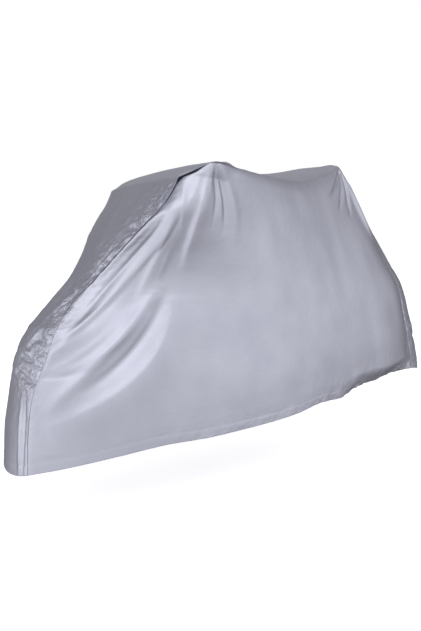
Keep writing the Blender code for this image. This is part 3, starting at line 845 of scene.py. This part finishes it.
def coated_cloth(name, pale, deep, roughness, metallic):
    """Plain-woven polyester with a thin silver coating, pressed on and then crumpled.

    The coating is more of a mirror than a paint, so a fold's flank is pale or dark with what it
    faces. Storage leaves a fine crazing in it, and its gloss is a little uneven.
    """
    material = bpy.data.materials.new(name)
    material.use_nodes = True
    tree = material.node_tree
    shader = tree.nodes["Principled BSDF"]
    place = add_node(tree, "ShaderNodeTexCoord")
    cloud = add_node(tree, "ShaderNodeTexNoise", {"Vector": place.outputs["Object"],
                                                  "Scale": 9.0, "Detail": 4.0})
    # A colour mix takes its two colours at sockets 6 and 7, and gives the mixed one at socket 2.
    colour = add_node(tree, "ShaderNodeMix", {"Factor": cloud.outputs["Fac"], 6: pale, 7: deep},
                      data_type="RGBA")
    tree.links.new(colour.outputs[2], shader.inputs["Base Color"])
    gloss = add_node(tree, "ShaderNodeMapRange", {"Value": cloud.outputs["Fac"],
                                                  "To Min": roughness - 0.05,
                                                  "To Max": roughness + 0.07})
    tree.links.new(gloss.outputs["Result"], shader.inputs["Roughness"])
    shader.inputs["Metallic"].default_value = metallic
    # Crazing 18 mm and 6 mm across, and the weave. Threads of 0.4 mm are drawn 3.4 mm apart.
    wide = add_node(tree, "ShaderNodeTexNoise", {"Vector": place.outputs["Object"], "Scale": 55.0,
                                                 "Detail": 3.0, "Distortion": 0.6})
    fine = add_node(tree, "ShaderNodeTexVoronoi", {"Vector": place.outputs["Object"],
                                                   "Scale": 160.0}, feature="DISTANCE_TO_EDGE")
    weave = add_node(tree, "ShaderNodeTexWave", {"Vector": place.outputs["UV"], "Scale": 130.0},
                     bands_direction="DIAGONAL")
    # Beside the seams the coating is crumpled into sharp creases 14 mm apart and less.
    crumpled = add_node(tree, "ShaderNodeAttribute", attribute_name="crumple")
    sharp = add_node(tree, "ShaderNodeTexNoise", {"Vector": place.outputs["Object"], "Scale": 70.0,
                                                  "Detail": 3.0, "Roughness": 0.6,
                                                  "Distortion": 0.8})
    creases = add_node(tree, "ShaderNodeMath", {0: sharp.outputs["Fac"],
                                                1: crumpled.outputs["Fac"]}, operation="MULTIPLY")
    # Each relief has its height, its strength and its depth in metres, and lies on the one before.
    reliefs = (
        (weave.outputs["Fac"], 0.06, 0.0003),
        (fine.outputs["Distance"], 0.30, 0.0010),
        (wide.outputs["Fac"], 0.28, 0.0020),
        (creases.outputs["Value"], 1.0, 0.0070),
    )
    relief = {}
    for height, strength, distance in reliefs:
        relief |= {"Height": height, "Strength": strength, "Distance": distance}
        relief["Normal"] = add_node(tree, "ShaderNodeBump", relief).outputs["Normal"]
    tree.links.new(relief["Normal"], shader.inputs["Normal"])
    return material


def lit_surface(name, colour, glow_colour, glow):
    """A new material that also glows by itself, and its shader."""
    material = bpy.data.materials.new(name)
    material.use_nodes = True
    shader = material.node_tree.nodes["Principled BSDF"]
    shader.inputs["Base Color"].default_value = colour
    shader.inputs["Emission Color"].default_value = glow_colour
    shader.inputs["Emission Strength"].default_value = glow
    return material, shader


def painted(name, colour, roughness, glow):
    """A matt painted studio surface, lit a little from within so that it stays pale."""
    material, shader = lit_surface(name, colour, colour, glow)
    shader.inputs["Roughness"].default_value = roughness
    return material


def glowing(name, colour, strength):
    """A surface that only glows."""
    material, shader = lit_surface(name, (0, 0, 0, 1), colour, strength)
    shader.inputs["Specular IOR Level"].default_value = 0
    return material


# ---- settings ------------------------------------------------------------------------------------
class CoverSettings(bpy.types.PropertyGroup):
    thickness: FloatProperty(
        name="Cloth thickness", description="Thickness of one layer of coated cloth",
        default=0.0009, min=0.0003, max=0.003, unit="LENGTH")
    pale: FloatVectorProperty(
        name="Coating, pale", description="The coating where it is cleanest",
        default=linear("C2C3CE"), size=4, min=0, max=1, subtype="COLOR")
    deep: FloatVectorProperty(
        name="Coating, deep", description="The coating where it is duller",
        default=linear("B2B3C1"), size=4, min=0, max=1, subtype="COLOR")
    roughness: FloatProperty(
        name="Roughness", description="Roughness of the coating",
        default=0.36, min=0, max=1, subtype="FACTOR")
    metallic: FloatProperty(
        name="Metallic", description="How much of a mirror the coating is",
        default=0.80, min=0, max=1, subtype="FACTOR")


class StudioSettings(bpy.types.PropertyGroup):
    floor: FloatVectorProperty(
        name="Floor", description="Colour of the floor",
        default=linear("F2F2F4"), size=4, min=0, max=1, subtype="COLOR")
    floor_size: FloatProperty(
        name="Floor radius", description="Radius of the round floor",
        default=19.0, min=2, unit="LENGTH")
    floor_glow: FloatProperty(
        name="Floor glow", description="How far the floor is lit from within",
        default=0.78, min=0, max=2)
    key_power: FloatProperty(
        name="Key light", description="Power of the large soft light behind the camera",
        default=12.0, min=0, unit="POWER")


# ---- operators -----------------------------------------------------------------------------------
def dress(context, name, cloth, finish, node):
    """Makes a finished cloth of the cover, hangs it on the root body and hides the CAD part that it
    stands for.
    """
    settings = context.scene.cover
    material = coated_cloth(finish, tuple(settings.pale), tuple(settings.deep),
                            settings.roughness, settings.metallic)
    piece = cloth_piece(name, cloth, settings.thickness, material)
    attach(piece, "root")
    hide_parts(node)


class COVER_OT_gusset(bpy.types.Operator):
    """Make the long gusset that runs over handlebar and saddle"""
    bl_idname = "cover.gusset"
    bl_label = "Gusset"

    def execute(self, context):
        dress(context, "cover_gusset", gusset_cloth(seed=11), "silver_coated_polyester_gusset",
              "gusset")
        return {"FINISHED"}


class COVER_OT_near_panel(bpy.types.Operator):
    """Make the near side panel"""
    bl_idname = "cover.near_panel"
    bl_label = "Near Side Panel"

    def execute(self, context):
        dress(context, "cover_near_panel", panel_cloth(NEAR), "silver_coated_polyester_near",
              "near_side_panel")
        return {"FINISHED"}


class COVER_OT_far_panel(bpy.types.Operator):
    """Make the far side panel"""
    bl_idname = "cover.far_panel"
    bl_label = "Far Side Panel"

    def execute(self, context):
        dress(context, "cover_far_panel", panel_cloth(FAR), "silver_coated_polyester_far",
              "far_side_panel")
        return {"FINISHED"}


class COVER_OT_studio(bpy.types.Operator):
    """Set up the pale floor, the soft lights and the camera"""
    bl_idname = "cover.studio"
    bl_label = "Studio"

    def execute(self, context):
        settings = context.scene.studio
        scene = context.scene
        bpy.ops.object.select_all(action="DESELECT")
        bpy.ops.mesh.primitive_circle_add(vertices=96, radius=settings.floor_size,
                                          fill_type="NGON", location=(0, 0, -LOWEST_HEM))
        floor = context.object
        floor.name = "studio_floor"
        floor.data.materials.append(painted("matt_studio_floor", tuple(settings.floor), 0.9,
                                            settings.floor_glow))
        floor.visible_diffuse = floor.visible_glossy = False
        add_light(scene, "key", Vector(KEY_PLACE), KEY_SIZE, settings.key_power)
        add_world(scene)
        add_sweep(scene)
        add_camera(scene)
        scene.view_settings.view_transform = "Standard"
        return {"FINISHED"}


def add_light(scene, name, place, size, power):
    """A large soft light that faces the middle of the cover."""
    light = bpy.data.lights.new(name, "AREA")
    light.shape = "RECTANGLE"
    light.size, light.size_y = size
    light.energy = power
    lamp = bpy.data.objects.new(name, light)
    scene.collection.objects.link(lamp)
    middle = (CAD_BOX[0] + CAD_BOX[1]) / 2
    aim = (place - middle).to_track_quat("Z", "Y").to_matrix().to_4x4()
    lamp.matrix_world = Matrix.Translation(place) @ aim


def add_world(scene):
    """The light of the room: soft pale fields all round, brightest high over the near front."""
    world = bpy.data.worlds.new("pale_studio")
    world.use_nodes = True
    scene.world = world
    tree = world.node_tree
    place = add_node(tree, "ShaderNodeTexCoord")
    level = 0.0
    for field in FIELDS:
        turn, height = math.radians(field.turn), math.radians(field.height)
        heading = (math.cos(turn) * math.cos(height), math.sin(turn) * math.cos(height),
                   math.sin(height))
        facing = add_node(tree, "ShaderNodeVectorMath",
                          {0: place.outputs["Generated"], 1: heading}, operation="DOT_PRODUCT")
        fall = add_node(tree, "ShaderNodeMath",
                        {0: facing.outputs["Value"], 1: FIELD_FALL, 2: -FIELD_FALL},
                        operation="MULTIPLY_ADD")
        glow = add_node(tree, "ShaderNodeMath", {0: fall.outputs["Value"]}, operation="EXPONENT")
        level = add_node(tree, "ShaderNodeMath",
                         {0: glow.outputs["Value"], 1: field.level, 2: level},
                         operation="MULTIPLY_ADD").outputs["Value"]
    tree.links.new(level, tree.nodes["Background"].inputs["Strength"])
    tree.nodes["Background"].inputs["Color"].default_value = linear("FCFCFF")


def add_sweep(scene):
    """The white wall of the studio all round. It shows to the camera and lights nothing."""
    bpy.ops.object.select_all(action="DESELECT")
    bpy.ops.mesh.primitive_uv_sphere_add(segments=48, ring_count=24, radius=SWEEP_RADIUS)
    sweep = bpy.context.object
    sweep.name = "studio_sweep"
    sweep.data.materials.append(glowing("white_sweep", linear("FFFFFF"), 1.0))
    for ray in ("diffuse", "glossy", "transmission", "volume_scatter", "shadow"):
        setattr(sweep, f"visible_{ray}", False)


def add_camera(scene):
    """The camera stands off the front wheel at waist height and looks a little down."""
    camera = bpy.data.cameras.new("camera")
    camera.sensor_width = 36.0
    camera.lens = CAMERA_LENS
    camera.shift_x, camera.shift_y = CAMERA_SHIFT
    stand = bpy.data.objects.new("camera", camera)
    scene.collection.objects.link(stand)
    yaw, pitch, roll = (math.radians(angle) for angle in CAMERA_TURN)
    turn = Matrix.Rotation(-yaw, 4, "Z") @ Matrix.Rotation(math.pi / 2 - pitch, 4, "X")
    stand.matrix_world = (
        Matrix.Translation(CAMERA_PLACE) @ turn @ Matrix.Rotation(roll, 4, "Z")
    )
    scene.camera = stand


class COVER_PT_sidebar(bpy.types.Panel):
    """Lists the cover's pieces and their settings"""
    bl_label = "Bicycle Cover"
    bl_idname = "COVER_PT_sidebar"
    bl_space_type = "VIEW_3D"
    bl_region_type = "UI"
    bl_category = "Cover"

    def draw(self, context):
        for group in (context.scene.cover, context.scene.studio):
            box = self.layout.box()
            for name in group.__annotations__:
                box.prop(group, name)
        for step in STEPS:
            self.layout.operator(step.bl_idname)


STEPS = (COVER_OT_gusset, COVER_OT_near_panel, COVER_OT_far_panel, COVER_OT_studio)
CLASSES = (CoverSettings, StudioSettings, *STEPS, COVER_PT_sidebar)


def register():
    for cls in CLASSES:
        bpy.utils.register_class(cls)
    bpy.types.Scene.cover = PointerProperty(type=CoverSettings)
    bpy.types.Scene.studio = PointerProperty(type=StudioSettings)


def unregister():
    del bpy.types.Scene.studio
    del bpy.types.Scene.cover
    for cls in reversed(CLASSES):
        bpy.utils.unregister_class(cls)


def main():
    register()
    bpy.ops.cover.gusset()
    bpy.ops.cover.near_panel()
    bpy.ops.cover.far_panel()
    bpy.ops.cover.studio()


if __name__ == "__main__":
    main()
